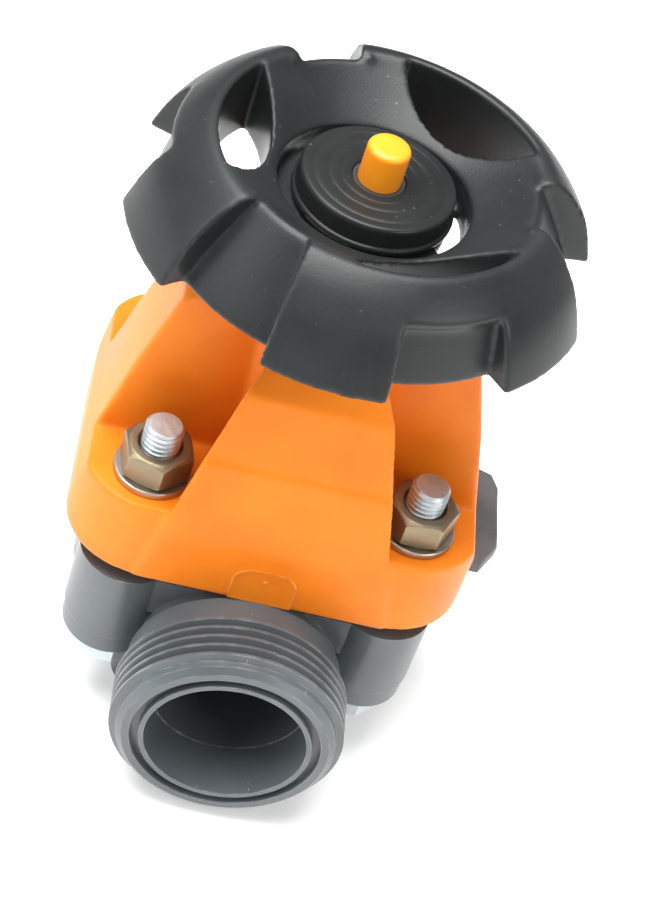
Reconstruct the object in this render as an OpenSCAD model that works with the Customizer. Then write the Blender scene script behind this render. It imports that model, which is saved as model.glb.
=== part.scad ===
// Weir-type diaphragm valve, DN 25, with threaded union ends and a non-rising handwheel.
// Origin: centre of the base pad's underside. +Z runs up the spindle, the pipe runs along Y.

/* [Pipe ends] */
// height of the pipe axis above the base pad
axis_h = 25.25; // [24.5:0.05:30]
// distance from the valve's middle to each port face
port_len = 52.3; // [50:0.1:60]
// crest diameter of the union thread, a G 1 1/2 pipe thread
thread_d = 47.8; // [47.8:0.01:47.81]
// pitch of the union thread, 11 threads to the inch
thread_pitch = 2.309; // [2.309:0.001:2.31]
// depth of the union thread from crest to root
thread_depth = 1.45; // [1.2:0.05:1.48]
// distance from the valve's middle to the outermost thread crest
first_crest = 48.9; // [48:0.1:50]
// diameter of the bore at the port's mouth
bore_d = 33; // [30:0.1:34]
// length of the straight bore at the port's mouth
bore_len = 12; // [10:0.5:14]
// diameter of the smooth collar behind the thread
collar_d = 44.4; // [43:0.1:45]

/* [Body] */
// height of the flange face that the diaphragm lies on
flange_z = 43.2; // [42:0.1:46]
// width of the body flange across the pipe
flange_w = 75; // [70:0.5:80]
// width of the body flange along the pipe
flange_l = 59; // [56:0.5:62]
// height of the underside of the bolt bosses
boss_z = 20.6; // [18:0.1:24]
// height of the weir's crest at its middle
weir_z = 38.9; // [36:0.1:40]
// radius of the saddle cut across the weir
saddle_r = 61; // [50:1:80]
// radius of the bowl above the weir
bowl_r = 22; // [20:0.5:23]
// distance between the two mounting inserts in the base pad
insert_gap = 25; // [25:5:45]

/* [Bonnet] */
// half width of the bonnet across the pipe
bonnet_x = 41.5; // [40:0.1:43]
// half width of the bonnet along the pipe
bonnet_y = 32.4; // [31:0.1:34]
// corner radius of the bonnet in plan
bonnet_r = 16; // [12:0.5:18]
// height of the bonnet's lower face
bonnet_z = 46.7; // [46:0.1:48]
// height of the floor of the four nut pockets
pocket_z = 65.8; // [64:0.1:68]
// height of the top edge of the neck
neck_top = 108.4; // [106:0.1:109]
// outer radius of the neck
neck_r = 16.6; // [16:0.1:18]

/* [Bolts] */
// half spacing of the bolts across the pipe
bolt_x = 26.9; // [26:0.1:28]
// half spacing of the bolts along the pipe
bolt_y = 21.6; // [21:0.1:22.5]
// nominal bolt diameter
bolt_d = 8; // [8:1:8]
// length under the bolt head
bolt_len = 60; // [55:5:65]
// outer diameter of the plain washers
washer_d = 16; // [16:0.5:17]
// thickness of the plain washers
washer_t = 1.6; // [1.5:0.1:1.6]

/* [Spindle drive] */
// travel of the stem from open to closed
lift = 8; // [7:0.5:9]
// radius of the stem's threaded part
stem_r = 7; // [6:0.5:8]
// radius of the spindle nut's collar
nut_collar_r = 12.6; // [12:0.1:13]
// running clearance between turning and still parts, on the radius
run_gap = 0.05; // [0.03:0.01:0.1]

/* [Handwheel] */
// radius of the handwheel at the rim of its lobes
wheel_r = 46.3; // [44:0.1:48]
// height of the lower edge of the rim
rim_z = 119.3; // [118:0.1:121]
// radius of the hole in the middle of the dish
dish_r = 18.6; // [18:0.1:20]
// height of the dish at its hole
dish_z = 129.9; // [129:0.1:131]
// wall thickness of the handwheel shell
wheel_t = 2.6; // [2:0.1:3]
// angle of the first lobe's middle
lobe_turn = 24; // [0:1:60]
// radius of the round cap on the hub
cap_r = 15.15; // [14:0.05:16]
// height of the cap's upper face
cap_z = 133.05; // [132:0.05:134]
// radius of the position indicator
pin_r = 4.2; // [4:0.05:4.5]

/* [Hidden] */
$fn = 96;
e = 0.01;
thread_r = thread_d / 2;
bore_r = bore_d / 2;
collar_r = collar_d / 2;
root_r = thread_r - thread_depth;
bolt_r = bolt_d / 2;
bolt_top = boss_z - washer_t + bolt_len;
seat_z = pocket_z + washer_t;

// ---- shared shapes ----

module rounded_plate(w, l, r, z0, z1) {
  translate([0, 0, z0])
    linear_extrude(z1 - z0)
      union() {
        square([w - 2 * r, l], center = true);
        square([w, l - 2 * r], center = true);
        for (sx = [-1, 1], sy = [-1, 1])
          translate([sx * (w / 2 - r), sy * (l / 2 - r)])
            circle(r = r);
      }
}

module post(r, z0, z1) {
  translate([0, 0, z0])
    cylinder(r = r, h = z1 - z0);
}

module ring(r_in, r_out, z0, z1) {
  difference() {
    post(r_out, z0, z1);
    post(r_in, z0 - 1, z1 + 1);
  }
}

module at_bolts() {
  for (sx = [-1, 1], sy = [-1, 1])
    translate([sx * bolt_x, sy * bolt_y, 0])
      children();
}

// lays a shape that stands on +Z along the pipe, towards one port
module toward_port(side) {
  translate([0, 0, axis_h])
    rotate([side * -90, 0, 0])
      children();
}

// ---- body ----

// half of the pipe barrel in section, with the union thread as parallel ridges
module barrel_half() {
  rotate_extrude()
    polygon(concat(
      [[0, 0], [20.8, 0], [20.8, 33], [collar_r, 33], [collar_r, first_crest - 4.5 * thread_pitch]],
      [for (i = [4:-1:0], p = [[-0.85, 0], [-0.3, 1], [0.3, 1], [0.85, 0]])
        [root_r + p[1] * thread_depth, first_crest - i * thread_pitch + p[0]]],
      [[root_r - 0.1, port_len - 1.2], [root_r - 1.4, port_len], [0, port_len]]
    ));
}

// seal groove in the port face, the bore at the mouth and the slightly narrower bore behind it
module port_cut() {
  translate([0, 0, port_len - 1.7])
    difference() {
      cylinder(r = 19.4, h = 3);
      translate([0, 0, -1])
        cylinder(r = 17.6, h = 5);
    }
  translate([0, 0, port_len - bore_len])
    cylinder(r = bore_r, h = bore_len + 1);
  translate([0, 0, 23.9])
    cylinder(r = 16.2, h = port_len - bore_len - 23.9 + e);
}

// passage that rises from one bore into its side of the bowl, over the weir's slope
module passage(side) {
  hull() {
    toward_port(side)
      translate([0, 0, 23.5])
        cylinder(r = 16.2, h = 0.6, $fn = 48);
    translate([0, 0, flange_z - 0.5])
      intersection() {
        cylinder(r = 20.5, h = 2, $fn = 48);
        translate([-30, side > 0 ? 3 : -33, -1])
          cube([60, 30, 4]);
      }
  }
}

module valve_body() {
  color([0.27, 0.29, 0.31])
    difference() {
      union() {
        for (side = [-1, 1])
          toward_port(side)
            barrel_half();
        post(26, 10, flange_z);
        rounded_plate(flange_w, flange_l, 14, 33.5, flange_z);
        at_bolts() {
          post(10.2, 25.4, flange_z);
          post(9.8, boss_z, 25.5);
        }
        rounded_plate(46, 44, 6, 0, 14);
      }
      // flat flange face under the diaphragm
      translate([-45, -30, flange_z])
        cube([90, 60, 12]);
      for (side = [-1, 1]) {
        toward_port(side)
          port_cut();
        passage(side);
      }
      // saddle across the top of the weir
      intersection() {
        translate([0, 30, weir_z + saddle_r])
          rotate([90, 0, 0])
            cylinder(r = saddle_r, h = 60);
        post(bowl_r, weir_z - 5, flange_z + 1);
      }
      at_bolts()
        post(4.25, boss_z - 1, flange_z + 1);
      // pockets for the mounting inserts
      for (s = [-1, 1])
        translate([0, s * insert_gap / 2, 0])
          post(4.5, -1, 10.2);
      // spot faces for the bottom washers and bolt heads
      at_bolts()
        post(8.4, 13, boss_z);
    }
}

module base_inserts() {
  color([0.72, 0.55, 0.25])
    for (s = [-1, 1])
      translate([0, s * insert_gap / 2, 0])
        difference() {
          union() {
            post(4.5, 0.2, 3.4);
            post(4.1, 3.3, 6.6);
            post(4.5, 6.5, 10.1);
          }
          post(2.5, -1, 9.2);
        }
}

// ---- diaphragm and the parts that move with it ----

module diaphragm_tab() {
  translate([0, 0, flange_z + 0.3])
    linear_extrude(2.9)
      polygon([[30, -8], [46.6, -8], [50.1, -2], [50.1, 15.6], [48.6, 19.4], [45.6, 20.4], [30, 20.4]]);
}

module diaphragm() {
  color([0.09, 0.09, 0.1])
    difference() {
      union() {
        rounded_plate(flange_w - 2, flange_l - 2, 13, flange_z, bonnet_z);
        diaphragm_tab();
        // crowned middle, shown raised as it is when the valve is open
        rotate_extrude()
          polygon([[0, 45], [21, 45], [22.4, bonnet_z], [15, 50.4], [0, 50.4]]);
      }
      rotate_extrude()
        polygon([[0, flange_z - 1], [21.2, flange_z - 1], [21.2, flange_z], [13.6, 46.9], [0, 46.9]]);
      post(3.05, 48, 51);
      at_bolts()
        post(4.4, flange_z - 1, bonnet_z + 1);
    }
}

module diaphragm_stud() {
  color([0.66, 0.66, 0.68])
    union() {
      post(3, 48.2, 55.6);
      post(3.8, 52.4, 53.6);
    }
}

module compressor() {
  color([0.16, 0.16, 0.17])
    difference() {
      union() {
        intersection() {
          rounded_plate(39, 23, 8, 50, 60);
          translate([0, 20, 50.7 + saddle_r - 3.8])
            rotate([90, 0, 0])
              cylinder(r = saddle_r - 3.8, h = 40);
        }
        post(10, 55, 68);
        // two wings that keep it from turning in the bonnet
        translate([-19.5, -2.5, 55])
          cube([39, 5, 6]);
      }
      post(3.05, 50, 55.8);
      post(3.9, 52.3, 53.7);
      post(6.1, 57, 70);
      translate([-12, 0, 63])
        rotate([0, 90, 0])
          cylinder(r = 2, h = 24);
    }
}

module cross_pin() {
  color([0.7, 0.7, 0.72])
    translate([-9.8, 0, 63])
      rotate([0, 90, 0])
        cylinder(r = 1.95, h = 19.6);
}

module stem() {
  color([0.74, 0.75, 0.77])
    difference() {
      union() {
        post(6, 57.2, 72);
        post(stem_r, 71.9, 117.4);
        translate([0, 0, 117.4 - e])
          cylinder(r1 = stem_r, r2 = stem_r - 1.2, h = 1.2);
      }
      translate([-10, 0, 63])
        rotate([0, 90, 0])
          cylinder(r = 2, h = 20);
      post(2.5, 108, 120);
    }
}

module indicator_pin() {
  color([1, 0.55, 0.05])
    union() {
      post(2.45, 109, 118.8);
      post(pin_r, 118.7, cap_z + 7.1);
      translate([0, 0, cap_z + 7.1 - e])
        cylinder(r1 = pin_r, r2 = pin_r - 0.6, h = 0.6);
    }
}

// ---- turning drive ----

module drive_flats(half, z0, z1) {
  for (s = [-1, 1])
    translate([s > 0 ? half : -half - 10, -15, z0])
      cube([10, 30, z1 - z0]);
}

module spindle_nut() {
  color([0.76, 0.6, 0.28])
    difference() {
      union() {
        post(10, 92, 122);
        post(nut_collar_r, 92, 96);
      }
      post(stem_r + run_gap, 90, 124);
      drive_flats(8.6, 106, 124);
      ring(9.2, 11, 120.2, 121.4);
      ring(8.7, 11, 100, 102.2);
    }
}

module nut_seal() {
  color([0.07, 0.07, 0.08])
    rotate_extrude()
      translate([9.65, 101.1])
        circle(r = 0.9, $fn = 48);
}

module lower_thrust_ring() {
  color([0.85, 0.84, 0.8])
    ring(8.2, 12.6, 90.5, 91.8);
}

module upper_thrust_ring() {
  color([0.85, 0.84, 0.8])
    ring(10.3, 12.6, 96.2, 97.5);
}

module retaining_ring() {
  color([0.2, 0.2, 0.21])
    difference() {
      ring(10.58, 12.95, 97.6, 105);
      for (a = [0, 90])
        rotate([0, 0, a])
          translate([-15, -1.5, 103])
            cube([30, 3, 4]);
    }
}

// ---- bonnet ----

// cuts one corner pocket: two flat walls that lean in towards the neck
module corner_pocket() {
  floor_plan = [[13, -11.4], [35.2, -60], [70, -60], [70, -13.2]];
  top_plan = [[4.2, -9.2], [27.4, -60], [70, -60], [70, -11.28]];
  polyhedron(
    points = concat(
      [for (p = floor_plan) [p[0], p[1], pocket_z]],
      [for (p = top_plan) [p[0], p[1], 112]]
    ),
    faces = [[0, 1, 2, 3], [7, 6, 5, 4], [1, 0, 4, 5], [2, 1, 5, 6], [3, 2, 6, 7], [0, 3, 7, 4]]
  );
}

// solid outline of the bonnet, before its pockets and cavity
module bonnet_block() {
  intersection() {
    rounded_plate(2 * bonnet_x, 2 * bonnet_y, bonnet_r, bonnet_z, 112);
    // outline seen along the pipe
    translate([0, 40, 0])
      rotate([90, 0, 0])
        linear_extrude(80)
          polygon([[-bonnet_x - 1, 40], [-bonnet_x - 1, 54.3], [-35.2, 83.8], [-29.6, 102], [-22, 105.6],
            [22, 105.6], [29.6, 102], [35.2, 83.8], [bonnet_x + 1, 54.3], [bonnet_x + 1, 40]]);
    // outline seen across the pipe
    translate([-50, 0, 0])
      rotate([90, 0, 90])
        linear_extrude(100)
          polygon([[-bonnet_y - 1, 40], [-bonnet_y - 1, 54], [-29.8, 80.3], [-26.6, 96.3], [-18, 105.6],
            [18, 105.6], [26.6, 96.3], [29.8, 80.3], [bonnet_y + 1, 54], [bonnet_y + 1, 40]]);
  }
}

// low moulded field at the foot of the front and back faces
module label_field() {
  linear_extrude(4)
    union() {
      translate([-6.5, 0.6])
        square([13, 5]);
      translate([-2.5, 5])
        square([5, 4.6]);
      for (s = [-1, 1])
        translate([s * 2.5, 5.6])
          circle(r = 4);
    }
}

module bonnet() {
  color([0.98, 0.5, 0.1])
    difference() {
      union() {
        difference() {
          bonnet_block();
          for (sx = [0, 1], sy = [0, 1])
            mirror([sx, 0, 0])
              mirror([0, sy, 0])
                corner_pocket();
          // room for a socket wrench round each nut
          at_bolts()
            post(9.4, pocket_z, 92);
        }
        post(neck_r, pocket_z + 1, neck_top);
        for (a = [0, 180])
          rotate([0, 0, a])
            translate([0, 3.65 - bonnet_y, bonnet_z])
              rotate([90, 0, 0])
                label_field();
      }
      at_bolts()
        post(4.25, bonnet_z - 1, pocket_z + 1);
      // cavity over the diaphragm, the stem's passage and the chamber of the spindle nut
      rotate_extrude()
        polygon([[0, bonnet_z - 1], [22.4, bonnet_z - 1], [22.4, 60.5], [20.9, 61.8], [11.2, 61.8],
          [11.2, 70.5], [7.6, 73], [7.6, 90.3], [13, 90.3], [13, neck_top + 1], [0, neck_top + 1]]);
    }
}

// ---- handwheel ----

// section of the space under the wheel's upper surface, out to a lobe
function lobe_edge(t) = [
  [0, rim_z - t], [wheel_r - t, rim_z - t], [45 - t, 123.2 - t * 0.3], [43.6 - t, 126.8 - t * 0.35],
  [42 - t * 0.9, 130 - t * 0.5], [40 - t * 0.8, 132.6 - t * 0.65], [37.5 - t * 0.65, 135.4 - t * 0.8],
  [35 - t * 0.4, 137.3 - t], [33, 138.4 - t], [31.2, 138.2 - t], [29.4, 137 - t * 1.1],
  [dish_r, dish_z - t * 1.2], [0, dish_z - t * 1.2]];

// the same section at an arm notch, where the skirt is drawn in from crest to rim
function arm_edge(t) = [
  [0, rim_z - t], [41 - t, rim_z - t], [37.9 - t * 0.9, 125.2 - t * 0.4], [34.7 - t * 0.8, 130.4 - t * 0.6],
  [32 - t * 0.6, 134.2 - t * 0.8], [30.4 - t * 0.3, 136.4 - t], [29.4, 137 - t * 1.1],
  [dish_r, dish_z - t * 1.2], [0, dish_z - t * 1.2]];

// the same section at a window notch, where a ledge is left above the drawn-in skirt
function ledge_edge(t) = [
  [0, rim_z - t], [41 - t, rim_z - t], [39.6 - t, 125.2], [38.4 - t, 131.2 - t],
  [40.2 - t * 2.4, 132.2 - t], [40 - t * 2, 132.6 - t], [37.5 - t * 0.65, 135.4 - t * 0.8],
  [35 - t * 0.4, 137.3 - t], [33, 138.4 - t], [31.2, 138.2 - t], [29.4, 137 - t * 1.1],
  [dish_r, dish_z - t * 1.2], [0, dish_z - t * 1.2]];

// plan of one lobe, or of a gap between lobes, as a slightly splayed bar
module lobe_plan(turn, off) {
  rotate([0, 0, turn])
    translate([0, 0, rim_z - 10])
      linear_extrude(40)
        polygon([[12, off - 6.6], [50, off - 12.6], [50, 12.6 - off], [12, 6.6 - off]]);
}

module wedge_plan(turn, half) {
  rotate([0, 0, turn])
    translate([0, 0, rim_z - 10])
      linear_extrude(40)
        polygon([[0, 0], [60, -60 * tan(half)], [60, 60 * tan(half)]]);
}

module wheel_form(t) {
  rotate_extrude()
    polygon(arm_edge(t));
  for (i = [0:5])
    intersection() {
      rotate_extrude()
        polygon(lobe_edge(t));
      lobe_plan(lobe_turn + 60 * i, t);
    }
  for (i = [0:2])
    intersection() {
      rotate_extrude()
        polygon(ledge_edge(t));
      wedge_plan(lobe_turn + 30 + 120 * i, 20 - t * 0.4);
    }
}

// lens-shaped window through the dish, between two arms
module window() {
  intersection() {
    post(31.8, rim_z, 145);
    translate([47.2, 0, 0])
      post(26, rim_z, 145);
  }
}

// outline of the deep wall that hangs down round one window
module window_frame() {
  intersection() {
    post(33.8, 123.6, 145);
    translate([47.2, 0, 0])
      post(28, 123.6, 145);
  }
}

// slot through the hub's flange, under the inner end of an arm
module flange_slot() {
  intersection() {
    ring(15.4, 18.2, 122, 128);
    wedge_plan(0, 24);
  }
}

module handwheel() {
  color([0.12, 0.12, 0.13])
    difference() {
      union() {
        difference() {
          wheel_form(0);
          wheel_form(wheel_t);
          post(dish_r, rim_z - 1, 145);
        }
        for (i = [0:2])
          intersection() {
            wheel_form(0.3);
            rotate([0, 0, lobe_turn + 30 + 120 * i])
              window_frame();
          }
        // collar under the edge of the dish, and the flange that joins it to the hub
        ring(dish_r, dish_r + 2.2, 123.4, dish_z - 1);
        ring(14, dish_r + 1, 123.4, 125.6);
        post(14.6, 109.5, 127.4);
      }
      for (i = [0:2])
        rotate([0, 0, lobe_turn + 30 + 120 * i])
          window();
      for (i = [0:2])
        rotate([0, 0, lobe_turn + 90 + 120 * i])
          flange_slot();
      difference() {
        post(10.05, 108, 121);
        drive_flats(8.65, 106, 124);
      }
      post(13.2, 119.9, 130);
    }
}

module wheel_clip() {
  color([0.3, 0.3, 0.32])
    difference() {
      ring(9.25, 12.4, 120.3, 121.3);
      translate([0, -1.6, 119])
        cube([14, 3.2, 4]);
    }
}

module hub_cap() {
  color([0.05, 0.05, 0.055])
    difference() {
      union() {
        post(16.3, 127.6, 129.4);
        post(cap_r, 129.3, cap_z);
        post(13.1, 123.4, 127.7);
      }
      post(5.2, 120, cap_z + 1);
      post(11.4, 122, 130.4);
      // fine turned rings on the face
      ring(12.7, 13, cap_z - 0.25, cap_z + 1);
      ring(9.7, 10, cap_z - 0.25, cap_z + 1);
      ring(7.4, 7.7, cap_z - 0.25, cap_z + 1);
    }
}

module pin_seal() {
  color([0.06, 0.06, 0.065])
    ring(pin_r + run_gap, 5.15, cap_z - 2, cap_z - 0.35);
}

// ---- fasteners ----

module hexagon(across, z0, z1) {
  translate([0, 0, z0])
    cylinder(r = across / sqrt(3), h = z1 - z0, $fn = 6);
}

// screw thread as parallel ridges
module ridged_rod(z0, z1, pitch) {
  ridges = floor((z1 - z0 - 0.8) / pitch);
  translate([0, 0, z0])
    rotate_extrude()
      polygon(concat(
        [[0, 0], [bolt_r - 0.65, 0]],
        [for (i = [0:ridges - 1], p = [[0.1, 0], [0.5, 1], [0.7, 1], [1.1, 0]])
          [bolt_r - 0.65 + p[1] * 0.6, (i + p[0]) * pitch]],
        [[bolt_r - 0.65, z1 - z0 - 0.5], [bolt_r - 1.1, z1 - z0], [0, z1 - z0]]
      ));
}

module bolts() {
  color([0.72, 0.72, 0.73])
    at_bolts()
      union() {
        hexagon(13, boss_z - washer_t - 5.3, boss_z - washer_t);
        post(bolt_r - 0.1, boss_z - washer_t - e, pocket_z + washer_t - 1);
        ridged_rod(pocket_z + washer_t - 1.2, bolt_top, 1.25);
      }
}

module bottom_washers() {
  color([0.74, 0.74, 0.74])
    at_bolts()
      ring(4.2, washer_d / 2, boss_z - washer_t, boss_z);
}

module top_washers() {
  color([0.76, 0.75, 0.74])
    at_bolts()
      ring(4.2, washer_d / 2, pocket_z, seat_z);
}

module hex_nuts() {
  color([0.5, 0.46, 0.36])
    at_bolts()
      difference() {
        intersection() {
          hexagon(13, seat_z, seat_z + 6.5);
          // turned chamfer on the upper corners
          rotate_extrude()
            polygon([[0, seat_z], [8, seat_z], [8, seat_z + 5.4], [6.2, seat_z + 6.5], [0, seat_z + 6.5]]);
        }
        post(4, seat_z - 1, seat_z + 8);
      }
}

valve_body();
base_inserts();
diaphragm();
diaphragm_stud();
compressor();
cross_pin();
stem();
indicator_pin();
spindle_nut();
nut_seal();
lower_thrust_ring();
upper_thrust_ring();
retaining_ring();
bonnet();
handwheel();
wheel_clip();
hub_cap();
pin_seal();
bolts();
bottom_washers();
top_washers();
hex_nuts();
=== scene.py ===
from math import asin, atan2, cos, degrees, hypot, pi, radians, sin

import bmesh
import bpy
from mathutils import Matrix, Vector


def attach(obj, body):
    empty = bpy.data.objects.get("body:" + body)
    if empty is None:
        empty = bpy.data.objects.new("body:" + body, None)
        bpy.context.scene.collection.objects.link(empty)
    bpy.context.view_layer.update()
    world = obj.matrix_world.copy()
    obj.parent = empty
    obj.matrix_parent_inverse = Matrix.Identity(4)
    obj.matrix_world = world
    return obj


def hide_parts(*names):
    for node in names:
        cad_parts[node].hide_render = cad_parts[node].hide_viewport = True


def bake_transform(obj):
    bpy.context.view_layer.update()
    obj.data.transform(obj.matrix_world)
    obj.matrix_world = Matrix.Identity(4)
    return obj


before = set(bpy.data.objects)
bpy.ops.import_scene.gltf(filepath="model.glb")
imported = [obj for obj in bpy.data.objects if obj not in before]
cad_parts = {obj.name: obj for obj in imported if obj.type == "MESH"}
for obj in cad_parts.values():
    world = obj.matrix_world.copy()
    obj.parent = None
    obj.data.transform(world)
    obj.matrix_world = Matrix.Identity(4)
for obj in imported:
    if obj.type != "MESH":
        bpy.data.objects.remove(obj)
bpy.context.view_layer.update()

# ---- Mounting inserts ----
# Two threaded brass inserts are pressed into the pad under the body, so that the valve
# can be bolted to a bracket. Bare turned brass, dulled a little by handling.


def pattern_group(name, inputs, outputs):
    group = bpy.data.node_groups.new(name, "ShaderNodeTree")
    for kind, label, value in inputs:
        socket = group.interface.new_socket(name=label, in_out="INPUT", socket_type=kind)
        socket.default_value = value
    for kind, label in outputs:
        group.interface.new_socket(name=label, in_out="OUTPUT", socket_type=kind)
    return group, group.nodes.new("NodeGroupInput"), group.nodes.new("NodeGroupOutput")


# fine surface texture: a broad tone for colour, and a normal with softened edges and a fine bump
grain, grain_in, grain_out = pattern_group(
    "surface_grain",
    [("NodeSocketFloat", "Scale", 1500), ("NodeSocketFloat", "Depth", 0.1),
     ("NodeSocketFloat", "Edge", 0.0004)],
    [("NodeSocketFloat", "Tone"), ("NodeSocketFloat", "Speckle"), ("NodeSocketVector", "Normal")])
place = grain.nodes.new("ShaderNodeTexCoord")
fine = grain.nodes.new("ShaderNodeTexNoise")
fine.inputs["Detail"].default_value = 3
broad = grain.nodes.new("ShaderNodeTexNoise")
broad.inputs["Scale"].default_value = 45
broad.inputs["Detail"].default_value = 4
soft_edge = grain.nodes.new("ShaderNodeBevel")
soft_edge.samples = 4
relief = grain.nodes.new("ShaderNodeBump")
relief.inputs["Distance"].default_value = 0.0001
grain.links.new(place.outputs["Object"], fine.inputs["Vector"])
grain.links.new(place.outputs["Object"], broad.inputs["Vector"])
grain.links.new(grain_in.outputs["Scale"], fine.inputs["Scale"])
grain.links.new(grain_in.outputs["Edge"], soft_edge.inputs["Radius"])
grain.links.new(grain_in.outputs["Depth"], relief.inputs["Strength"])
grain.links.new(fine.outputs["Fac"], relief.inputs["Height"])
grain.links.new(soft_edge.outputs["Normal"], relief.inputs["Normal"])
grain.links.new(broad.outputs["Fac"], grain_out.inputs["Tone"])
grain.links.new(fine.outputs["Fac"], grain_out.inputs["Speckle"])
grain.links.new(relief.outputs["Normal"], grain_out.inputs["Normal"])

# mask of outer edges, broken up by noise: rubbed wear on most finishes, and a painted edge highlight on the
# orange moulding
edge_wear_and_highlight, edge_wear_and_highlight_in, edge_wear_and_highlight_out = pattern_group(
    "edge_wear_and_highlight_mask",
    [("NodeSocketFloat", "Width", 0.0005), ("NodeSocketFloat", "Amount", 0.5),
     ("NodeSocketFloat", "Scale", 300)],
    [("NodeSocketFloat", "Mask")])
place = edge_wear_and_highlight.nodes.new("ShaderNodeTexCoord")
round_edge = edge_wear_and_highlight.nodes.new("ShaderNodeBevel")
round_edge.samples = 4
true_face = edge_wear_and_highlight.nodes.new("ShaderNodeNewGeometry")
turn_away = edge_wear_and_highlight.nodes.new("ShaderNodeVectorMath")
turn_away.operation = "DOT_PRODUCT"
edge = edge_wear_and_highlight.nodes.new("ShaderNodeMapRange")
edge.inputs["From Min"].default_value = 0.995
edge.inputs["From Max"].default_value = 0.9
patchy = edge_wear_and_highlight.nodes.new("ShaderNodeTexNoise")
patchy.inputs["Detail"].default_value = 5
patches = edge_wear_and_highlight.nodes.new("ShaderNodeMapRange")
patches.inputs["From Min"].default_value = 0.42
patches.inputs["From Max"].default_value = 0.62
both = edge_wear_and_highlight.nodes.new("ShaderNodeMath")
both.operation = "MULTIPLY"
level = edge_wear_and_highlight.nodes.new("ShaderNodeMath")
level.operation = "MULTIPLY"
edge_wear_and_highlight.links.new(edge_wear_and_highlight_in.outputs["Width"], round_edge.inputs["Radius"])
edge_wear_and_highlight.links.new(round_edge.outputs["Normal"], turn_away.inputs[0])
edge_wear_and_highlight.links.new(true_face.outputs["Normal"], turn_away.inputs[1])
edge_wear_and_highlight.links.new(turn_away.outputs["Value"], edge.inputs["Value"])
edge_wear_and_highlight.links.new(place.outputs["Object"], patchy.inputs["Vector"])
edge_wear_and_highlight.links.new(edge_wear_and_highlight_in.outputs["Scale"], patchy.inputs["Scale"])
edge_wear_and_highlight.links.new(patchy.outputs["Fac"], patches.inputs["Value"])
edge_wear_and_highlight.links.new(edge.outputs["Result"], both.inputs[0])
edge_wear_and_highlight.links.new(patches.outputs["Result"], both.inputs[1])
edge_wear_and_highlight.links.new(both.outputs["Value"], level.inputs[0])
edge_wear_and_highlight.links.new(edge_wear_and_highlight_in.outputs["Amount"], level.inputs[1])
edge_wear_and_highlight.links.new(level.outputs["Value"], edge_wear_and_highlight_out.inputs["Mask"])

# mask of sparse pale specks and fluff lying on upward faces
dust, dust_in, dust_out = pattern_group(
    "settled_dust",
    [("NodeSocketFloat", "Scale", 700), ("NodeSocketFloat", "Amount", 0.3)],
    [("NodeSocketFloat", "Mask")])
place = dust.nodes.new("ShaderNodeTexCoord")
face = dust.nodes.new("ShaderNodeNewGeometry")
height = dust.nodes.new("ShaderNodeSeparateXYZ")
upward = dust.nodes.new("ShaderNodeMapRange")
upward.inputs["From Min"].default_value = 0.0
upward.inputs["From Max"].default_value = 0.9
specks = dust.nodes.new("ShaderNodeTexNoise")
specks.inputs["Detail"].default_value = 6
specks.inputs["Roughness"].default_value = 0.7
sparse = dust.nodes.new("ShaderNodeMapRange")
sparse.inputs["From Min"].default_value = 0.66
sparse.inputs["From Max"].default_value = 0.74
both = dust.nodes.new("ShaderNodeMath")
both.operation = "MULTIPLY"
level = dust.nodes.new("ShaderNodeMath")
level.operation = "MULTIPLY"
dust.links.new(face.outputs["Normal"], height.inputs["Vector"])
dust.links.new(height.outputs["Z"], upward.inputs["Value"])
dust.links.new(place.outputs["Object"], specks.inputs["Vector"])
dust.links.new(dust_in.outputs["Scale"], specks.inputs["Scale"])
dust.links.new(specks.outputs["Fac"], sparse.inputs["Value"])
dust.links.new(upward.outputs["Result"], both.inputs[0])
dust.links.new(sparse.outputs["Result"], both.inputs[1])
dust.links.new(both.outputs["Value"], level.inputs[0])
dust.links.new(dust_in.outputs["Amount"], level.inputs[1])
dust.links.new(level.outputs["Value"], dust_out.inputs["Mask"])


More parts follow.
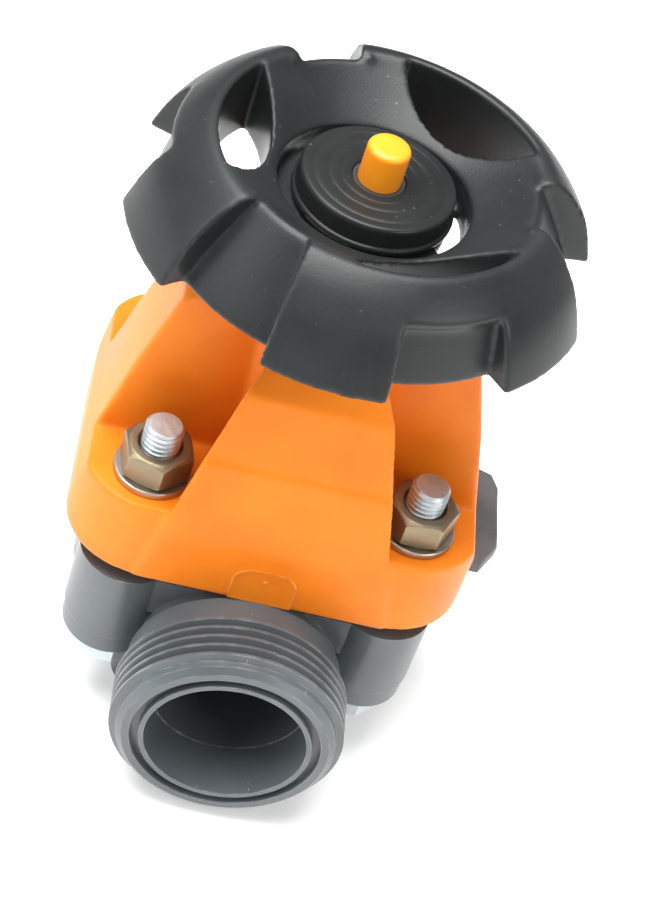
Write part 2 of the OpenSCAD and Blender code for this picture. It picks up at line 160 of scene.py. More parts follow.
def surface(name, dark, light, rough, metal=0.0, grain_scale=1500, grain_depth=0.1, edge=0.0004,
            wear_and_highlight_colour=None, wear_and_highlight_width=0.0006, wear_and_highlight_amount=0.5, dusty=0.2, dust_colour=(0.6, 0.58, 0.55),
            speckle=0.25, gloss=0.5):
    """a finish whose colour drifts from dark to light, with grain, paler outer edges and a little dust; the
    paler edges are rubbed wear, except on the orange moulding, where they are a painted edge highlight
    """
    finish = bpy.data.materials.new(name)
    finish.use_nodes = True
    nodes, links = finish.node_tree.nodes, finish.node_tree.links
    shader = nodes["Principled BSDF"]
    shader.inputs["Metallic"].default_value = metal
    shader.inputs["Specular IOR Level"].default_value = gloss
    grain_node = nodes.new("ShaderNodeGroup")
    grain_node.node_tree = grain
    grain_node.inputs["Scale"].default_value = grain_scale
    grain_node.inputs["Depth"].default_value = grain_depth
    grain_node.inputs["Edge"].default_value = edge
    drift = nodes.new("ShaderNodeMapRange")
    drift.inputs["From Min"].default_value = 0.35
    drift.inputs["From Max"].default_value = 0.65
    flecks = nodes.new("ShaderNodeMath")
    flecks.operation = "MULTIPLY_ADD"
    flecks.inputs[1].default_value = speckle
    tone = nodes.new("ShaderNodeMix")
    tone.data_type = "RGBA"
    tone.inputs["A"].default_value = (*dark, 1)
    tone.inputs["B"].default_value = (*light, 1)
    links.new(grain_node.outputs["Tone"], drift.inputs["Value"])
    links.new(grain_node.outputs["Speckle"], flecks.inputs[0])
    links.new(drift.outputs["Result"], flecks.inputs[2])
    links.new(flecks.outputs["Value"], tone.inputs["Factor"])
    # the outer edges take the paler edge colour: rubbed wear, and on the orange moulding a painted edge
    # highlight
    wear_and_highlight_node = nodes.new("ShaderNodeGroup")
    wear_and_highlight_node.node_tree = edge_wear_and_highlight
    wear_and_highlight_node.inputs["Width"].default_value = wear_and_highlight_width
    wear_and_highlight_node.inputs["Amount"].default_value = wear_and_highlight_amount if wear_and_highlight_colour else 0
    wear_and_highlight_tone = nodes.new("ShaderNodeMix")
    wear_and_highlight_tone.data_type = "RGBA"
    wear_and_highlight_tone.inputs["B"].default_value = (*(wear_and_highlight_colour or light), 1)
    links.new(wear_and_highlight_node.outputs["Mask"], wear_and_highlight_tone.inputs["Factor"])
    links.new(tone.outputs["Result"], wear_and_highlight_tone.inputs["A"])
    dust_node = nodes.new("ShaderNodeGroup")
    dust_node.node_tree = dust
    dust_node.inputs["Amount"].default_value = dusty
    dusted = nodes.new("ShaderNodeMix")
    dusted.data_type = "RGBA"
    dusted.inputs["B"].default_value = (*dust_colour, 1)
    links.new(dust_node.outputs["Mask"], dusted.inputs["Factor"])
    links.new(wear_and_highlight_tone.outputs["Result"], dusted.inputs["A"])
    links.new(dusted.outputs["Result"], shader.inputs["Base Color"])
    rough_range = nodes.new("ShaderNodeMapRange")
    rough_range.inputs["From Min"].default_value = 0.3
    rough_range.inputs["From Max"].default_value = 0.7
    rough_range.inputs["To Min"].default_value = rough[0]
    rough_range.inputs["To Max"].default_value = rough[1]
    links.new(grain_node.outputs["Tone"], rough_range.inputs["Value"])
    links.new(rough_range.outputs["Result"], shader.inputs["Roughness"])
    links.new(grain_node.outputs["Normal"], shader.inputs["Normal"])
    return finish


def dress(piece, finish):
    piece.data.materials.clear()
    piece.data.materials.append(finish)


brass = surface("turned_brass", (0.42, 0.27, 0.09), (0.6, 0.42, 0.16), (0.28, 0.42), metal=1.0,
                grain_scale=2500, grain_depth=0.15, edge=0.0002, wear_and_highlight_colour=(0.75, 0.6, 0.3))
dress(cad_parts["base_inserts"], brass)

# ---- Body ----
# One injection moulding in dark grey rigid plastic: a barrel with a union thread at each
# end, a flat flange with four bolt bosses and a flat pad underneath.
body_grey = surface("moulded_grey", (0.074, 0.086, 0.093), (0.1, 0.115, 0.123), (0.28, 0.4),
                    grain_scale=1800, grain_depth=0.12, edge=0.0002, wear_and_highlight_colour=(0.3, 0.32, 0.34),
                    wear_and_highlight_width=0.0004, wear_and_highlight_amount=0.7, dusty=0.8, dust_colour=(0.8, 0.8, 0.8))
dress(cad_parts["valve_body"], body_grey)

# ---- Diaphragm ----
# A moulded rubber sheet clamped between body and bonnet, with a tab on one side that
# shows which rubber it is. Its middle is pulled up by a steel stud set into it.
rubber = surface("black_rubber", (0.022, 0.022, 0.023), (0.095, 0.094, 0.092), (0.45, 0.65),
                 grain_scale=1600, grain_depth=0.9, edge=0.0004, wear_and_highlight_colour=(0.3, 0.3, 0.29), wear_and_highlight_width=0.0009,
                 wear_and_highlight_amount=0.8, dusty=0.6, speckle=0.6)


def take_up(piece):
    """makes this the one selected and active piece"""
    bpy.ops.object.select_all(action="DESELECT")
    piece.select_set(True)
    bpy.context.view_layer.objects.active = piece


def open_all():
    """opens the active piece in edit mode, by its points, with all of it selected"""
    bpy.ops.object.mode_set(mode="EDIT")
    bpy.ops.mesh.select_mode(type="VERT")
    bpy.ops.mesh.select_all(action="SELECT")


def start_from(node, name):
    """a new piece that starts from a copy of the node's form, with its loose faces merged"""
    piece = bpy.data.objects.new(name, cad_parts[node].data.copy())
    bpy.context.scene.collection.objects.link(piece)
    take_up(piece)
    open_all()
    bpy.ops.mesh.remove_doubles(threshold=0.000005)
    return piece


diaphragm = start_from("diaphragm", "diaphragm_sheet")
bpy.ops.mesh.dissolve_limited(angle_limit=radians(0.5))
bpy.ops.object.mode_set(mode="OBJECT")
lip = diaphragm.modifiers.new("lip", "BEVEL")
lip.width = 0.0005
lip.segments = 3
lip.angle_limit = radians(40)
bpy.ops.object.modifier_apply(modifier="lip")
open_all()
bpy.ops.mesh.quads_convert_to_tris()
bpy.ops.object.mode_set(mode="OBJECT")
bpy.ops.object.shade_smooth_by_angle(angle=radians(35))
dress(diaphragm, rubber)
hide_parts("diaphragm")
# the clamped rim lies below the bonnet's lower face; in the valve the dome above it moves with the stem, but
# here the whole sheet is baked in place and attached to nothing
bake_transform(diaphragm)

# ---- Compressor and stem ----
# The steel stem carries a moulded compressor by a cross pin and does not turn.
stainless = surface("stainless", (0.5, 0.5, 0.5), (0.66, 0.66, 0.65), (0.22, 0.34), metal=1.0,
                    grain_scale=3000, grain_depth=0.1, edge=0.0002)
for node in ("diaphragm_stud", "cross_pin", "stem"):
    dress(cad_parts[node], stainless)
dark_plastic = surface("filled_plastic", (0.03, 0.03, 0.032), (0.05, 0.05, 0.053), (0.4, 0.55),
                       grain_scale=1600, grain_depth=0.2)
for node in ("compressor", "retaining_ring"):
    dress(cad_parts[node], dark_plastic)

# ---- Spindle nut and its bearings ----
# A brass nut turns in the neck between two slippery plastic rings, sealed by an O-ring.
dress(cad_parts["spindle_nut"], brass)
bearing = surface("bearing_plastic", (0.62, 0.6, 0.53), (0.72, 0.7, 0.64), (0.4, 0.5), grain_scale=1800)
for node in ("lower_thrust_ring", "upper_thrust_ring"):
    dress(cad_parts[node], bearing)
seal_rubber = surface("seal_rubber", (0.015, 0.015, 0.016), (0.024, 0.024, 0.026), (0.45, 0.6),
                      grain_depth=0.25)
for node in ("nut_seal", "pin_seal"):
    dress(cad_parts[node], seal_rubber)

# ---- Bonnet ----
# Orange glass-filled moulding with four open corners for the bolts, a plain round neck and a
# low raised field at the foot of the front and back. Its edges are all a little rounded.
# the pale yellow colour on its outer edges is a painted edge highlight, not wear
orange = surface("orange_moulding", (0.69, 0.158, 0.006), (0.81, 0.212, 0.011), (0.36, 0.48),
                 grain_scale=1700, grain_depth=0.12, edge=0.0004, wear_and_highlight_colour=(0.98, 0.4, 0.09), wear_and_highlight_amount=0.5,
                 dusty=0.25, gloss=0.2)


def run_modifiers(piece):
    """applies every modifier on the piece, in order"""
    take_up(piece)
    for modifier in list(piece.modifiers):
        bpy.ops.object.modifier_apply(modifier=modifier.name)


def cut(piece, tool, how="DIFFERENCE", drop=True):
    """cuts the piece with the tool, joins the two, or keeps what they share"""
    step = piece.modifiers.new("cut", "BOOLEAN")
    step.operation = how
    step.solver = "EXACT"
    step.object = tool
    run_modifiers(piece)
    if drop:
        bpy.data.objects.remove(tool)


def soften(piece, step, rounds):
    """rounds all edges of a closed piece, as a mould's edges are"""
    weave = piece.modifiers.new("even_mesh", "REMESH")
    weave.mode = "VOXEL"
    weave.voxel_size = step
    ease = piece.modifiers.new("ease", "SMOOTH")
    ease.factor = 0.5
    ease.iterations = rounds
    thin = piece.modifiers.new("thin", "DECIMATE")
    thin.ratio = 0.55
    settle = piece.modifiers.new("settle", "SMOOTH")
    settle.factor = 0.5
    settle.iterations = 4
    run_modifiers(piece)
    bpy.ops.object.shade_smooth()


def select_where(piece, kind, wanted):
    """in edit mode, selects only the points, edges or faces that the test wants, by where they are"""
    bpy.ops.object.mode_set(mode="EDIT")
    bpy.ops.mesh.select_mode(type=kind)
    bpy.ops.mesh.select_all(action="DESELECT")
    bpy.ops.object.mode_set(mode="OBJECT")
    mesh = piece.data
    for item in {"VERT": mesh.vertices, "EDGE": mesh.edges, "FACE": mesh.polygons}[kind]:
        item.select = wanted(item)
    bpy.ops.object.mode_set(mode="EDIT")


def join(parts, whole):
    """joins the parts into the whole, which is one of them"""
    take_up(whole)
    for part in parts:
        part.select_set(True)
    bpy.ops.object.join()


bonnet = start_from("bonnet", "bonnet_moulding")
bpy.ops.object.mode_set(mode="OBJECT")
# the middle of the front and back stands a hair proud of the corners, with a faint step half way
# up; each row is a height, a distance from the middle and a half width, in millimetres
panel_rows = [(46.72, 33.05, 25.8), (61.3, 33.05, 23.3), (65.8, 32.55, 22.3), (80.1, 30.5, 18.95),
              (80.5, 30.0, 18.8), (96.2, 26.72, 14.75), (105.4, 18.2, 9.2)]
panel_depth = 3
for side in (-1, 1):
    bpy.ops.object.select_all(action="DESELECT")
    bpy.ops.mesh.primitive_plane_add(size=0.001)
    panel = bpy.context.object
    open_all()
    z, y, half = panel_rows[0]
    bpy.ops.transform.resize(value=(2 * half, panel_depth, 1), center_override=(0, 0, 0))
    bpy.ops.transform.translate(value=(0, side * (y - panel_depth / 2) / 1000, z / 1000))
    # its back edge is narrower, to stay inside the walls of the corners
    select_where(panel, "VERT", lambda point: abs(point.co.y) < 0.031)
    bpy.ops.transform.resize(value=((half - 1.4) / half, 1, 1), center_override=(0, 0, 0))
    bpy.ops.mesh.select_mode(type="FACE")
    bpy.ops.mesh.select_all(action="SELECT")
    for (z0, y0, half0), (z1, y1, half1) in zip(panel_rows, panel_rows[1:]):
        bpy.ops.mesh.extrude_region_move(
            TRANSFORM_OT_translate={"value": (0, side * (y1 - y0) / 1000, (z1 - z0) / 1000)})
        bpy.ops.transform.resize(value=(half1 / half0, 1, 1), center_override=(0, 0, 0))
    bpy.ops.mesh.select_all(action="SELECT")
    bpy.ops.mesh.normals_make_consistent(inside=False)
    bpy.ops.object.mode_set(mode="OBJECT")
    cut(bonnet, panel, "UNION")
soften(bonnet, 0.00048, 9)

field_wide, field_high, field_round = 13, 9, 0.004
for side in (-1, 1):
    bpy.ops.object.select_all(action="DESELECT")
    bpy.ops.mesh.primitive_cube_add(size=0.001)
    field = bpy.context.object
    open_all()
    bpy.ops.transform.resize(value=(field_wide, 1, field_high), center_override=(0, 0, 0))
    bpy.ops.transform.translate(value=(0, side * 0.03286, 0.0518))
    points = field.data.vertices
    select_where(field, "EDGE", lambda line: all(points[i].co.z > 0.055 for i in line.vertices)
                 and points[line.vertices[0]].co.x == points[line.vertices[1]].co.x)
    bpy.ops.mesh.bevel(offset=field_round, segments=8)
    # a thin raised rim is left round its face
    select_where(field, "FACE", lambda face: face.normal.y * side > 0.9)
    bpy.ops.mesh.inset(thickness=0.0003)
    bpy.ops.transform.translate(value=(0, -side * 0.0002, 0))
    bpy.ops.object.mode_set(mode="OBJECT")
    # the mark of the moulding gate
    bpy.ops.object.select_all(action="DESELECT")
    bpy.ops.mesh.primitive_cylinder_add(vertices=24, radius=0.0005, depth=0.0006, rotation=(pi / 2, 0, 0),
                                        location=(0, side * 0.03306, 0.0535))
    dot = bpy.context.object
    bpy.ops.object.transform_apply()
    rounding = dot.modifiers.new("rounding", "BEVEL")
    rounding.width = 0.0002
    rounding.segments = 3
    run_modifiers(dot)
    join((field, dot), bonnet)
bpy.ops.object.shade_smooth_by_angle(angle=radians(60))
dress(bonnet, orange)
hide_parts("bonnet")
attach(bonnet, "valve")

# ---- Bolts, washers and nuts ----
# Four hexagon bolts of bright zinc-plated steel run up from under the body through plain
# washers; on the bonnet each has a second washer and a nut with an olive chromate finish.
zinc = surface("zinc_plate", (0.12, 0.135, 0.14), (0.5, 0.545, 0.565), (0.32, 0.55), metal=0.9,
               grain_scale=650, grain_depth=1.6, edge=0.0003, wear_and_highlight_colour=(0.62, 0.62, 0.61), wear_and_highlight_amount=0.8,
               dusty=0.5, dust_colour=(0.6, 0.56, 0.5), speckle=0.8)
washer_steel = surface("washer_steel", (0.3, 0.27, 0.23), (0.48, 0.44, 0.38), (0.28, 0.42), metal=1.0,
                       grain_scale=1400, grain_depth=0.4, edge=0.0002, wear_and_highlight_colour=(0.7, 0.66, 0.6), wear_and_highlight_amount=0.6)
chromate = surface("olive_chromate", (0.15, 0.115, 0.068), (0.27, 0.215, 0.14), (0.36, 0.52), metal=0.85,
                   grain_scale=1200, grain_depth=0.5, edge=0.0003, wear_and_highlight_colour=(0.5, 0.43, 0.32), wear_and_highlight_amount=0.7)


def ring_out(row, next_row):
    """carries the selected ring on to the next radius and height"""
    rise = (next_row[1] - row[1]) / 1000
    k = next_row[0] / row[0]
    bpy.ops.mesh.extrude_region_move(TRANSFORM_OT_translate={"value": (0, 0, rise)})
    bpy.ops.transform.resize(value=(k, k, 1), center_override=(0, 0, 0))


def turned(name, outline, around=96, closed=True):
    """a piece turned about the spindle's axis from radius and height pairs in millimetres; its outline
    closes on itself, or the piece ends in a flat face at top and bottom"""
    bpy.ops.object.select_all(action="DESELECT")
    bpy.ops.mesh.primitive_circle_add(vertices=around, radius=outline[0][0] / 1000,
                                      fill_type="NOTHING" if closed else "NGON")
    piece = bpy.context.object
    piece.name = name
    open_all()
    bpy.ops.transform.translate(value=(0, 0, outline[0][1] / 1000))
    bpy.ops.mesh.select_mode(type="EDGE")
    for row, next_row in zip(outline, outline[1:] + outline[:1] if closed else outline[1:]):
        if closed or row is not outline[0]:
            ring_out(row, next_row)
        else:
            bpy.ops.mesh.select_all(action="SELECT")
            rise = (next_row[1] - row[1]) / 1000
            k = next_row[0] / row[0]
            bpy.ops.mesh.extrude_edges_move(TRANSFORM_OT_translate={"value": (0, 0, rise)})
            bpy.ops.transform.resize(value=(k, k, 1), center_override=(0, 0, 0))
    if not closed:
        bpy.ops.mesh.edge_face_add()
    bpy.ops.mesh.select_mode(type="VERT")
    bpy.ops.mesh.select_all(action="SELECT")
    bpy.ops.mesh.remove_doubles(threshold=0.000002)
    bpy.ops.mesh.normals_make_consistent(inside=False)
    bpy.ops.object.mode_set(mode="OBJECT")
    return piece


def set_in_place(piece, name, spots, turns=(0, 0, 0, 0)):
    """copies the piece to each spot, turned about its own axis, and joins the copies"""
    copies = []
    for (x, y), turn in zip(spots, turns):
        take_up(piece)
        bpy.ops.object.duplicate()
        copy = bpy.context.object
        copy.rotation_euler = (0, 0, radians(turn))
        copy.location = (x, y, 0)
        bpy.ops.object.transform_apply()
        copies.append(copy)
    bpy.data.objects.remove(piece)
    join(copies, copies[0])
    copies[0].name = name
    bpy.ops.object.shade_smooth_by_angle(angle=radians(32))
    return copies[0]


bolt_across, bolt_along = 0.0269, 0.0216
bolt_spots = [(sx * bolt_across, sy * bolt_along) for sx in (-1, 1) for sy in (-1, 1)]
hexagon = 0.0075
pitch = 0.00125
# one turn of the thread's outline is swept up the axis, then trimmed to a chamfered blank
bpy.ops.object.select_all(action="DESELECT")
bpy.ops.mesh.primitive_plane_add(size=0.001)
thread = bpy.context.object
open_all()
bpy.ops.mesh.merge(type="CENTER")
flank = [(3.38, 69.0), (3.38, 69.12), (3.93, 69.54), (3.93, 69.7), (3.38, 70.13), (3.38, 70.25)]
bpy.ops.transform.translate(value=(flank[0][0] / 1000, 0, flank[0][1] / 1000))
for (r0, z0), (r1, z1) in zip(flank, flank[1:]):
    bpy.ops.mesh.extrude_region_move(
        TRANSFORM_OT_translate={"value": ((r1 - r0) / 1000, 0, (z1 - z0) / 1000)})
bpy.ops.object.mode_set(mode="OBJECT")
sweep = thread.modifiers.new("sweep", "SCREW")
sweep.axis = "Z"
sweep.screw_offset = pitch
sweep.iterations = 10
sweep.steps = 32
sweep.render_steps = 32
run_modifiers(thread)
bpy.ops.object.mode_set(mode="EDIT")
bpy.ops.mesh.select_all(action="SELECT")
bpy.ops.mesh.remove_doubles(threshold=0.000002)
bpy.ops.mesh.bisect(plane_co=(0, 0, 0.0805), plane_no=(0, 0, 1), use_fill=True, clear_outer=True)
bpy.ops.mesh.select_all(action="SELECT")
bpy.ops.mesh.bisect(plane_co=(0, 0, 0.0705), plane_no=(0, 0, 1), use_fill=True, clear_inner=True)
bpy.ops.mesh.select_all(action="SELECT")
bpy.ops.mesh.normals_make_consistent(inside=False)
bpy.ops.object.mode_set(mode="OBJECT")
blank = turned("blank", [(4.0, 70.6), (4.0, 78.3), (3.35, 78.98), (2.0, 79.0)], closed=False)
cut(thread, blank, "INTERSECT")
shank = turned("shank", [(3.85, 18.9), (3.85, 70.0), (3.5, 70.7), (3.0, 70.7)], closed=False)
bpy.ops.object.select_all(action="DESELECT")
bpy.ops.mesh.primitive_cylinder_add(vertices=6, radius=hexagon, depth=0.0053, location=(0, 0, 0.01635))
head = bpy.context.object
bpy.ops.object.transform_apply()
cut(head, turned("head_blank", [(6.1, 13.7), (7.6, 14.6), (7.7, 19.0), (3.0, 19.0)], closed=False), "INTERSECT")
join((shank, head), thread)
bolts = set_in_place(thread, "bolts_threaded", bolt_spots, (140, 20, 255, 70))
dress(bolts, zinc)
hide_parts("bolts")
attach(bolts, "valve")

for name, node, low in (("washers_under", "bottom_washers", 19.0), ("washers_over", "top_washers", 65.8)):
    washer = turned("washer", [(4.2, low), (7.8, low), (7.98, low + 0.2), (8.0, low + 0.5),
                               (7.98, low + 1.4), (7.8, low + 1.58), (4.3, low + 1.6), (4.2, low + 1.5)],
                    around=72)
    washers = set_in_place(washer, name, bolt_spots)
    dress(washers, washer_steel)
    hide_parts(node)
    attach(washers, "valve")

bpy.ops.object.select_all(action="DESELECT")
bpy.ops.mesh.primitive_cylinder_add(vertices=6, radius=hexagon, depth=0.0065, location=(0, 0, 0.07065))
nut = bpy.context.object
bpy.ops.object.transform_apply()
nut_blank = turned("nut_blank", [(6.4, 67.4), (7.6, 68.1), (7.6, 72.9), (6.1, 73.88), (2.0, 73.9)],
                   closed=False)
cut(nut, nut_blank, "INTERSECT")
nut_bore = turned("nut_bore", [(4.6, 66.0), (4.6, 67.3), (4.02, 68.0), (4.02, 73.1), (4.6, 73.8), (4.7, 75.0),
                               (3.0, 75.0)], closed=False)
cut(nut, nut_bore)
rounding = nut.modifiers.new("rounding", "BEVEL")
rounding.width = 0.0002
rounding.segments = 2
rounding.angle_limit = radians(25)
run_modifiers(nut)
nuts = set_in_place(nut, "nuts", bolt_spots, (12, 0, 33, 47))
dress(nuts, chromate)
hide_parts("hex_nuts")
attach(nuts, "valve")

# ---- Handwheel ----
# A thin moulded shell in glass-filled black plastic: a dish inside a crest, six lobes with
# drawn-in notches between them, three lens-shaped windows with deep walls, and a hub.
wheel_black = surface("wheel_black", (0.009, 0.0108, 0.0112), (0.015, 0.0175, 0.018), (0.33, 0.47),
                      grain_scale=1500, grain_depth=0.3, edge=0.0006, wear_and_highlight_colour=(0.1, 0.1, 0.098), wear_and_highlight_amount=0.35,
                      dusty=0.2, gloss=0.32)


def curve_through(points, extra):
    """the same points with extra ones between them on a smooth curve"""
    out = []
    for i in range(len(points) - 1):
        p0, p1, p2 = points[max(i - 1, 0)], points[i], points[i + 1]
        p3 = points[min(i + 2, len(points) - 1)]
        for k in range(extra + 1):
            t = k / (extra + 1)
            out.append(tuple(0.5 * (2 * b + (c - a) * t + (2 * a - 5 * b + 4 * c - d) * t * t
                                    + (3 * b - a - 3 * c + d) * t * t * t)
                             for a, b, c, d in zip(p0, p1, p2, p3)))
    return out + [points[-1]]


# radius and height down the wheel's section: the dish, then a lobe, an arm's notch and a window's
dish_rows = [(18.6, 129.9), (21.3, 131.7), (24, 133.45), (26.7, 135.25)]
lobe_rows = curve_through([(29.4, 137.0), (31.2, 138.2), (33.2, 138.35), (35.4, 137.1), (37.7, 135.2),
                           (40, 132.6), (42, 129.9), (43.7, 126.6), (45.1, 123.0), (46.3, 119.3)], 1)
arm_rows = curve_through([(29.4, 137.0), (30.5, 136.7), (31.3, 135.8), (32.1, 134.5), (33.3, 132.6),
                          (34.8, 130.2), (36.4, 127.6), (38.0, 124.9), (39.5, 122.2), (41, 119.3)], 1)
ledge_rows = curve_through([(29.4, 137.0), (31.2, 138.2), (33.2, 138.35), (35.4, 137.1), (37.7, 135.2),
                            (39.7, 132.9), (38.6, 130.9), (39.2, 127.5), (40.1, 123.4), (41, 119.3)], 1)


def pick(piece, numbers):
    """selects these points of the piece, which is in edit mode, and nothing else"""
    bpy.ops.mesh.select_all(action="DESELECT")
    mesh = bmesh.from_edit_mesh(piece.data)
    mesh.verts.ensure_lookup_table()
    for n in numbers:
        mesh.verts[n].select_set(True)
    mesh.select_flush_mode()


bpy.ops.object.select_all(action="DESELECT")
bpy.ops.mesh.primitive_circle_add(vertices=120, radius=dish_rows[0][0] / 1000)
handwheel = bpy.context.object
handwheel.name = "handwheel_shell"
open_all()
bpy.ops.transform.translate(value=(0, 0, dish_rows[0][1] / 1000))
whole_rows = dish_rows + lobe_rows
for row, next_row in zip(whole_rows, whole_rows[1:]):
    ring_out(row, next_row)

# the notches are drawn in from the lobes, each with a wall down both sides
mesh = bmesh.from_edit_mesh(handwheel.data)
bpy.ops.mesh.select_all(action="DESELECT")
bpy.ops.mesh.select_mode(type="FACE")
first_lobe, half_lobe, crest_foot = 24, 15, 29.5
for face in mesh.faces:
    c = face.calc_center_median()
    off = (degrees(atan2(c.y, c.x)) - first_lobe + 30) % 60 - 30
    if hypot(c.x, c.y) * 1000 > crest_foot and abs(off) > half_lobe:
        face.select_set(True)
bpy.ops.mesh.extrude_region_move()
bpy.ops.mesh.select_mode(type="VERT")
mesh = bmesh.from_edit_mesh(handwheel.data)
mesh.verts.ensure_lookup_table()
drawn_in, lobe_side = {}, {}
for v in mesh.verts:
    r = hypot(v.co.x, v.co.y) * 1000
    turn = degrees(atan2(v.co.y, v.co.x))
    off = (turn - first_lobe + 30) % 60 - 30
    z = v.co.z * 1000
    row = min(range(len(lobe_rows)), key=lambda i: abs(lobe_rows[i][0] - r) + abs(lobe_rows[i][1] - z))
    if r < 29.3:
        continue
    if v.select:
        in_window = abs((turn - 54 + 60) % 120 - 60) < 16
        drawn_in.setdefault((in_window, row), []).append(v.index)
    if abs(abs(off) - half_lobe) < 0.5:
        lobe_side.setdefault((off > 0, row), []).append(v.index)
for (in_window, row), numbers in drawn_in.items():
    old, new = lobe_rows[row], (ledge_rows if in_window else arm_rows)[row]
    pick(handwheel, numbers)
    bpy.ops.transform.resize(value=(new[0] / old[0], new[0] / old[0], 1), center_override=(0, 0, 0))
    bpy.ops.transform.translate(value=(0, 0, (new[1] - old[1]) / 1000))
# the lobes are as wide at the crest as at the rim, so their sides splay
for (leading, row), numbers in lobe_side.items():
    r = lobe_rows[row][0]
    splay = asin((6.6 + 6 * (r - 12) / 38) / r) - radians(half_lobe)
    pick(handwheel, numbers)
    bpy.ops.transform.rotate(value=-splay if leading else splay, orient_axis="Z", center_override=(0, 0, 0))
# the strips left under the notches go, and the walls meet the shell
bpy.ops.mesh.select_all(action="DESELECT")
bpy.ops.mesh.select_mode(type="FACE")
mesh = bmesh.from_edit_mesh(handwheel.data)
for face in mesh.faces:
    if max(v.co.z for v in face.verts) < 0.11931:
        face.select_set(True)
bpy.ops.mesh.delete(type="FACE")
bpy.ops.mesh.select_all(action="SELECT")
bpy.ops.mesh.select_mode(type="VERT")
bpy.ops.mesh.remove_doubles(threshold=0.00001)
bpy.ops.mesh.normals_make_consistent(inside=False)
bpy.ops.object.mode_set(mode="OBJECT")

# a closed copy of the same form is the core that the window walls are cut to
bpy.ops.object.select_all(action="DESELECT")
handwheel.select_set(True)
bpy.ops.object.duplicate()
core = bpy.context.object
core.name = "wheel_core"
bpy.ops.object.mode_set(mode="EDIT")
bpy.ops.mesh.select_mode(type="EDGE")
bpy.ops.mesh.select_all(action="DESELECT")
bpy.ops.mesh.select_non_manifold(extend=False)
bpy.ops.mesh.extrude_region_move(TRANSFORM_OT_translate={"value": (0, 0, -0.0001)})
bpy.ops.mesh.select_all(action="DESELECT")
bpy.ops.mesh.select_non_manifold(extend=False)
bpy.ops.mesh.edge_face_add()
bpy.ops.mesh.select_all(action="SELECT")
bpy.ops.transform.translate(value=(0, 0, -0.0008))
bpy.ops.mesh.normals_make_consistent(inside=False)
bpy.ops.object.mode_set(mode="OBJECT")


def lens(name, outer, inner, low, high, turn):
    """an upright bar with a lens-shaped outline, between an outer arc about the spindle's axis and an
    inner arc about a point out at the rim, turned to its window"""
    bpy.ops.object.select_all(action="DESELECT")
    bpy.ops.mesh.primitive_cylinder_add(vertices=128, radius=inner / 1000, depth=(high - low) / 1000,
                                        location=(0.0472, 0, (high + low) / 2000))
    arc = bpy.context.object
    bpy.ops.mesh.primitive_cylinder_add(vertices=144, radius=outer / 1000, depth=(high - low + 1) / 1000,
                                        location=(0, 0, (high + low) / 2000))
    piece = bpy.context.object
    piece.name = name
    cut(piece, arc, "INTERSECT")
    piece.rotation_euler = (0, 0, radians(turn))
    bpy.ops.object.transform_apply()
    return piece


wheel_wall = 0.0026
window_turns = (54, 174, 294)
thickness = handwheel.modifiers.new("thickness", "SOLIDIFY")
thickness.thickness = wheel_wall
thickness.offset = -1
run_modifiers(handwheel)
for turn in window_turns:
    wall = lens("window_wall", 33.8, 28, 121.8, 142, turn)
    cut(wall, core, "INTERSECT", drop=False)
    cut(handwheel, wall, "UNION")
bpy.data.objects.remove(core)
for turn in window_turns:
    cut(handwheel, lens("window", 31.8, 26, 118, 146, turn))

# the hub's flange carries the dish, with three slots through it beside the cap
slot_turns, slot_span = (114, 234, 354), 48
hub = turned("wheel_hub", [(10.1, 109.5), (14.2, 109.5), (14.6, 109.9), (14.6, 123.4), (20.4, 123.4),
                           (20.8, 123.8), (20.8, 129.4), (18.62, 128.6), (18.6, 125.9), (18.3, 125.6),
                           (14.6, 125.6), (14.6, 127.1), (14.3, 127.4), (13.2, 127.4), (13.2, 119.9),
                           (10.1, 119.9)])
for turn in slot_turns:
    # the slot's cutter is a small block spun round the axis
    bpy.ops.object.select_all(action="DESELECT")
    bpy.ops.mesh.primitive_plane_add(size=0.001, location=(0, 0, 0))
    slot_cutter = bpy.context.object
    bpy.ops.object.mode_set(mode="EDIT")
    bpy.ops.mesh.select_all(action="SELECT")
    bpy.ops.transform.rotate(value=pi / 2, orient_axis="X", center_override=(0, 0, 0))
    bpy.ops.transform.resize(value=(2.8, 1, 6), center_override=(0, 0, 0))
    bpy.ops.transform.translate(value=(0.0168, 0, 0.125))
    bpy.ops.mesh.spin(steps=16, angle=radians(slot_span), center=(0, 0, 0), axis=(0, 0, 1))
    bpy.ops.mesh.select_all(action="SELECT")
    bpy.ops.mesh.normals_make_consistent(inside=False)
    bpy.ops.object.mode_set(mode="OBJECT")
    middle = sum((v.co for v in slot_cutter.data.vertices), Vector()) / len(slot_cutter.data.vertices)
    slot_cutter.rotation_euler = (0, 0, radians(turn) - atan2(middle.y, middle.x))
    bpy.ops.object.transform_apply()
    cut(hub, slot_cutter)
cut(handwheel, hub, "UNION")
# every moulded edge is softened together
soften(handwheel, 0.00042, 14)
dress(handwheel, wheel_black)
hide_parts("handwheel")
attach(handwheel, "wheel")
spring = surface("spring_steel", (0.2, 0.2, 0.21), (0.3, 0.3, 0.31), (0.3, 0.4), metal=1.0)
dress(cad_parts["wheel_clip"], spring)

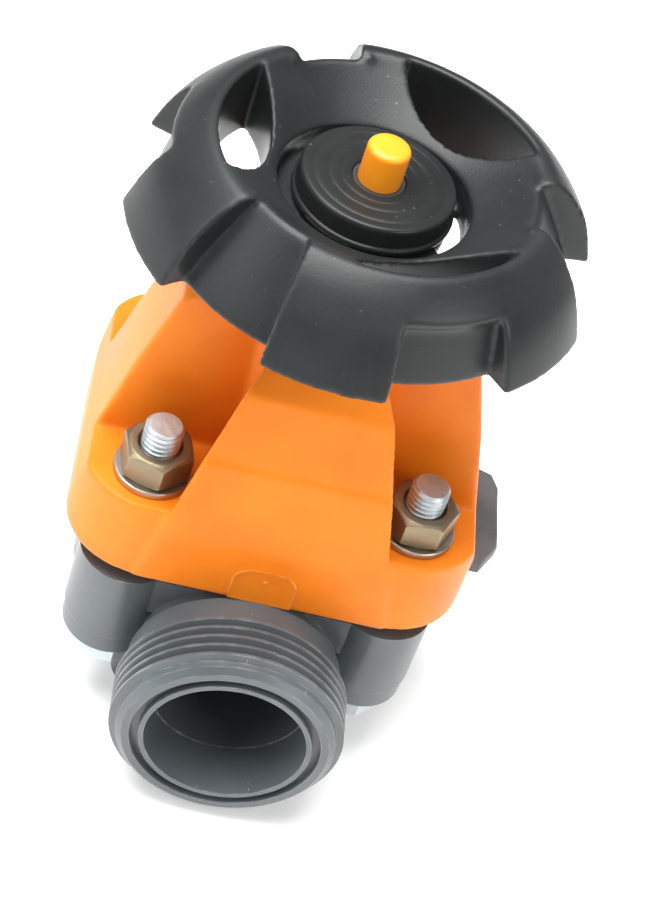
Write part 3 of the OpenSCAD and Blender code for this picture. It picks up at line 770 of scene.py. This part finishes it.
# ---- Cap ----
# A smooth black cap pressed into the hub. Its face is turned with a few fine rings and
# has a hole for the indicator, with a soft seal round it.
cap_black = surface("cap_black", (0.009, 0.0108, 0.0105), (0.015, 0.0175, 0.017), (0.2, 0.32),
                    grain_scale=1500, grain_depth=0.05, edge=0.0003, dusty=0.3, gloss=0.22)
groove = lambda r: [(r + 0.12, 133.04), (r + 0.06, 133.005), (r - 0.06, 133.005), (r - 0.12, 133.04)]
cap_face = ([(14.55, 133.05), (13.6, 133.04)] + groove(12.85) + [(11.4, 133.02)] + groove(9.85) + groove(7.55)
            + [(6.4, 133.02), (5.6, 133.0), (5.35, 132.9), (5.2, 132.6)])
cap = turned("cap", [(11.4, 123.4), (13.1, 123.4), (13.1, 127.6), (15.6, 127.6), (15.8, 127.8), (15.8, 128.5),
                     (15.6, 128.75), (15.25, 128.9), (15.15, 129.4), (15.12, 132.1), (15.02, 132.6),
                     (14.8, 132.92)] + cap_face + [(5.2, 129.4), (11.4, 129.4)], around=144)
bpy.ops.object.shade_smooth_by_angle(angle=radians(50))
dress(cap, cap_black)
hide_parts("hub_cap")
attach(cap, "wheel")

# ---- Indicator ----
# A bright orange moulded pin screwed into the stem, which rises and falls through the cap
# and shows how far the valve is open.
pin_orange = surface("indicator_orange", (0.93, 0.26, 0.006), (0.97, 0.33, 0.01), (0.34, 0.46),
                     grain_scale=1700, grain_depth=0.1, edge=0.0005)
pin = turned("indicator", [(2.45, 109.0), (2.45, 118.7), (3.9, 118.7), (4.2, 119.0), (4.2, 139.4),
                           (4.17, 139.85), (4.05, 140.2), (3.8, 140.5), (3.45, 140.67), (2.6, 140.72),
                           (1.3, 140.74), (0.4, 140.74)], around=72, closed=False)
bpy.ops.object.shade_smooth_by_angle(angle=radians(50))
dress(pin, pin_orange)
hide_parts("indicator_pin")
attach(pin, "spindle")

# ---- Camera ----
# One long lens looks down on the valve from the port's side, a little to the left,
# and is rolled so that the spindle leans to the right.
heading = radians(-10.62)
elevation = radians(43.51)
roll = radians(20.3)
camera_place = (-0.06039, -0.36394, 0.41244)
back = Vector((sin(heading) * cos(elevation), -cos(heading) * cos(elevation), sin(elevation)))
level_right = (-back).cross(Vector((0, 0, 1))).normalized()
level_up = level_right.cross(-back)
right = cos(roll) * level_right + sin(roll) * level_up
up = -sin(roll) * level_right + cos(roll) * level_up
camera_data = bpy.data.cameras.new("camera")
camera_data.lens = 98.76
camera_data.sensor_width = 36
camera_data.clip_start = 0.01
camera = bpy.data.objects.new("camera", camera_data)
camera.matrix_world = Matrix.Translation(camera_place) @ Matrix((right, up, back)).transposed().to_4x4()
bpy.context.scene.collection.objects.link(camera)
bpy.context.scene.camera = camera

# ---- Floor and light ----
# A plain white floor that glows a little, as a light table does, a large soft light
# overhead, and two weaker ones from the left and the right.
bpy.context.scene.view_settings.view_transform = "Standard"
bpy.ops.object.select_all(action="DESELECT")
bpy.ops.mesh.primitive_plane_add(size=4, location=(0, 0, 0))
floor = bpy.context.object
floor.name = "floor"
floor_finish = bpy.data.materials.new("floor_white")
floor_finish.use_nodes = True
floor_shader = floor_finish.node_tree.nodes["Principled BSDF"]
floor_shader.inputs["Base Color"].default_value = (0.93, 0.93, 0.925, 1)
floor_shader.inputs["Roughness"].default_value = 0.7
floor_shader.inputs["Emission Color"].default_value = (1, 1, 1, 1)
floor_shader.inputs["Emission Strength"].default_value = 0.22
floor.data.materials.append(floor_finish)

world = bpy.data.worlds.new("studio")
bpy.context.scene.world = world
world.use_nodes = True
world.node_tree.nodes["Background"].inputs["Color"].default_value = (1, 1, 1, 1)
world.node_tree.nodes["Background"].inputs["Strength"].default_value = 0.35


def soft_light(name, place, target, width, height, power):
    """a rectangular light that faces its target"""
    data = bpy.data.lights.new(name, "AREA")
    data.shape = "RECTANGLE"
    data.size = width
    data.size_y = height
    data.energy = power
    light = bpy.data.objects.new(name, data)
    light.location = place
    aim = Vector(target) - Vector(place)
    light.rotation_euler = aim.to_track_quat("-Z", "Y").to_euler()
    bpy.context.scene.collection.objects.link(light)


soft_light("overhead", (-0.15, 0.05, 0.9), (0, 0, 0.08), 0.8, 0.7, 20)
soft_light("left_window", (-0.75, -0.3, 0.5), (0, 0, 0.07), 0.5, 0.6, 3)
soft_light("right_fill", (0.6, -0.5, 0.5), (0, 0, 0.07), 0.4, 0.5, 3)
